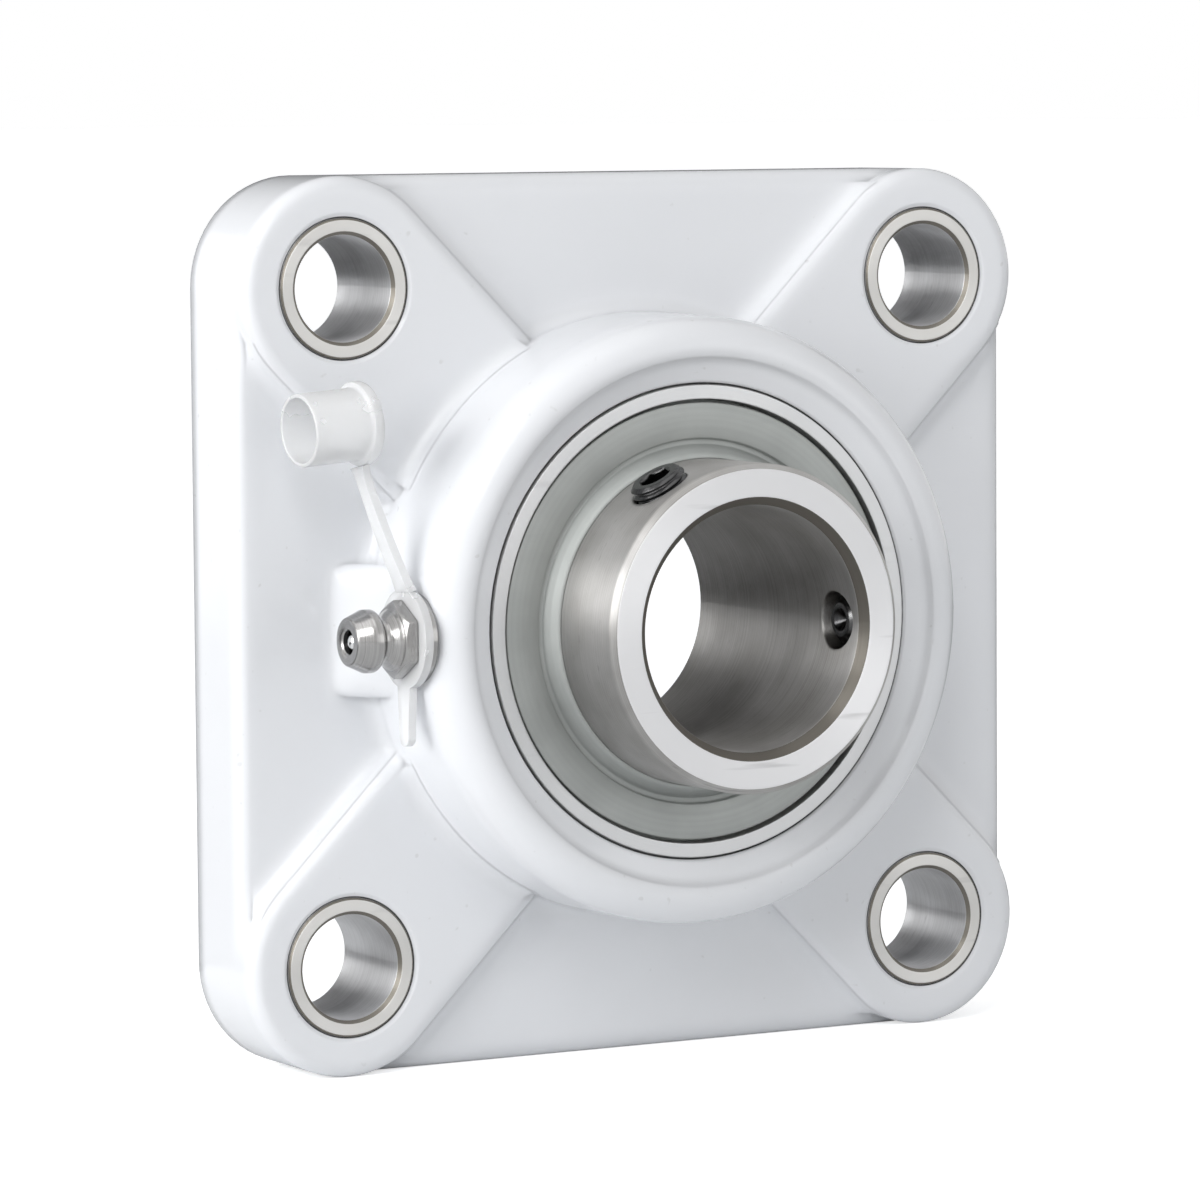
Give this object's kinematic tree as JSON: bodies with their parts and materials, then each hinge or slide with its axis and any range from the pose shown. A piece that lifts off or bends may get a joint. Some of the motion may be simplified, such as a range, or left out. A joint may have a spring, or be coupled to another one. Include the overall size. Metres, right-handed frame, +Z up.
{
  "type": "four-bolt flange bearing",
  "caption": "Square flange unit of white plastic with a self-aligning insert ball bearing, bolt bushes and a capped grease nipple.",
  "frame": {"origin": "on the shaft axis in the plane of the mounting face, which is also the centre of the bolt pattern", "axes": "-Y along the shaft axis out of the front, +Z up, +X to the right seen from the front; the mounting face looks along +Y"},
  "size_m": [0.093, 0.0358, 0.093],
  "materials": {
    "housing_plastic": "glossy moulded thermoplastic",
    "bush_steel": "turned stainless steel",
    "nipple_steel": "turned stainless steel",
    "spring_steel": "drawn wire",
    "cap_plastic": "milky translucent polyethylene",
    "ring_steel": "ground stainless steel",
    "ball_steel": "polished",
    "screw_steel": "black oxide",
    "cage_steel": "pressed strip",
    "shield_steel": "matte pressed sheet",
    "seal_rubber": "nitrile rubber"
  },
  "bodies": {
    "housing_body": {"housing": "housing_plastic", "bush_upper_left": "bush_steel", "bush_upper_right": "bush_steel", "bush_lower_left": "bush_steel", "bush_lower_right": "bush_steel", "nipple_insert": "nipple_steel", "grease_nipple": "nipple_steel", "nipple_spring": "spring_steel"},
    "outer_ring_body": {"outer_ring": "ring_steel", "seal_washer_front": "shield_steel", "seal_lip_front": "seal_rubber", "seal_washer_rear": "shield_steel", "seal_lip_rear": "seal_rubber"},
    "inner_ring_body": {"inner_ring": "ring_steel", "flinger_front": "shield_steel", "flinger_rear": "shield_steel"},
    "upper_screw_body": {"set_screw_upper": "screw_steel"},
    "side_screw_body": {"set_screw_side": "screw_steel"},
    "cage_body": {"cage_front": "cage_steel", "cage_rear": "cage_steel", "cage_rivets": "cage_steel"},
    "nipple_ball_body": {"nipple_ball": "ball_steel"},
    "tether_body": {"cap_ring": "cap_plastic", "cap_strap": "cap_plastic"},
    "cap_body": {"cap_cup": "cap_plastic"},
    "ball_1_body": {"ball_1": "ball_steel"},
    "ball_2_body": {"ball_2": "ball_steel"},
    "ball_3_body": {"ball_3": "ball_steel"},
    "ball_4_body": {"ball_4": "ball_steel"},
    "ball_5_body": {"ball_5": "ball_steel"},
    "ball_6_body": {"ball_6": "ball_steel"},
    "ball_7_body": {"ball_7": "ball_steel"},
    "ball_8_body": {"ball_8": "ball_steel"},
    "ball_9_body": {"ball_9": "ball_steel"}
  },
  "joints": [
    {"name": "self_align", "type": "hinge", "parent": "housing_body", "child": "outer_ring_body", "pos_m": [0, -0.016, 0], "axis": [1, 0, 0], "range_deg": [-2, 2]},
    {"name": "shaft_spin", "type": "hinge", "parent": "outer_ring_body", "child": "inner_ring_body", "pos_m": [0, -0.016, 0], "axis": [0, 1, 0], "continuous": true},
    {"name": "cage_spin", "type": "hinge", "parent": "outer_ring_body", "child": "cage_body", "pos_m": [0, -0.016, 0], "axis": [0, 1, 0], "continuous": true},
    {"name": "ball_1_roll", "type": "hinge", "parent": "cage_body", "child": "ball_1_body", "pos_m": [0, -0.016, 0.01925], "axis": [0, 1, 0], "continuous": true},
    {"name": "ball_2_roll", "type": "hinge", "parent": "cage_body", "child": "ball_2_body", "pos_m": [-0.01237, -0.016, 0.01475], "axis": [0, 1, 0], "continuous": true},
    {"name": "ball_3_roll", "type": "hinge", "parent": "cage_body", "child": "ball_3_body", "pos_m": [-0.01896, -0.016, 0.00334], "axis": [0, 1, 0], "continuous": true},
    {"name": "ball_4_roll", "type": "hinge", "parent": "cage_body", "child": "ball_4_body", "pos_m": [-0.01667, -0.016, -0.00962], "axis": [0, 1, 0], "continuous": true},
    {"name": "ball_5_roll", "type": "hinge", "parent": "cage_body", "child": "ball_5_body", "pos_m": [-0.00658, -0.016, -0.01809], "axis": [0, 1, 0], "continuous": true},
    {"name": "ball_6_roll", "type": "hinge", "parent": "cage_body", "child": "ball_6_body", "pos_m": [0.00658, -0.016, -0.01809], "axis": [0, 1, 0], "continuous": true},
    {"name": "ball_7_roll", "type": "hinge", "parent": "cage_body", "child": "ball_7_body", "pos_m": [0.01667, -0.016, -0.00962], "axis": [0, 1, 0], "continuous": true},
    {"name": "ball_8_roll", "type": "hinge", "parent": "cage_body", "child": "ball_8_body", "pos_m": [0.01896, -0.016, 0.00334], "axis": [0, 1, 0], "continuous": true},
    {"name": "ball_9_roll", "type": "hinge", "parent": "cage_body", "child": "ball_9_body", "pos_m": [0.01237, -0.016, 0.01475], "axis": [0, 1, 0], "continuous": true},
    {"name": "upper_screw_travel", "type": "slide", "parent": "inner_ring_body", "child": "upper_screw_body", "axis": [-0.5, 0, 0.866], "range_m": [-0.0005, 0.003]},
    {"name": "side_screw_travel", "type": "slide", "parent": "inner_ring_body", "child": "side_screw_body", "axis": [1, 0, 0], "range_m": [-0.0003, 0.003]},
    {"name": "nipple_ball_travel", "type": "slide", "parent": "housing_body", "child": "nipple_ball_body", "axis": [1, 0, 0], "range_m": [0, 0.0006], "stiffness_N_per_m": 50, "springref_m": -0.0005, "deforming": ["nipple_spring"]},
    {"name": "tether_swivel", "type": "hinge", "parent": "housing_body", "child": "tether_body", "pos_m": [-0.0324, -0.0205, -0.0005], "axis": [1, 0, 0], "range_deg": [-3, 35]},
    {"name": "cap_fold", "type": "hinge", "parent": "tether_body", "child": "cap_body", "pos_m": [-0.03803, -0.01949, 0.01043], "axis": [0.0318, -0.9959, 0.0852], "range_deg": [0, 128], "stiffness_Nm_per_rad": 0.0005, "deforming": ["cap_strap"]}
  ],
  "couplings": [
    {"joint": "cage_spin", "follows": "shaft_spin", "ratio": 0.3969},
    {"joint": "ball_1_roll", "follows": "shaft_spin", "ratio": -2.322},
    {"joint": "ball_2_roll", "follows": "shaft_spin", "ratio": -2.322},
    {"joint": "ball_3_roll", "follows": "shaft_spin", "ratio": -2.322},
    {"joint": "ball_4_roll", "follows": "shaft_spin", "ratio": -2.322},
    {"joint": "ball_5_roll", "follows": "shaft_spin", "ratio": -2.322},
    {"joint": "ball_6_roll", "follows": "shaft_spin", "ratio": -2.322},
    {"joint": "ball_7_roll", "follows": "shaft_spin", "ratio": -2.322},
    {"joint": "ball_8_roll", "follows": "shaft_spin", "ratio": -2.322},
    {"joint": "ball_9_roll", "follows": "shaft_spin", "ratio": -2.322}
  ]
}
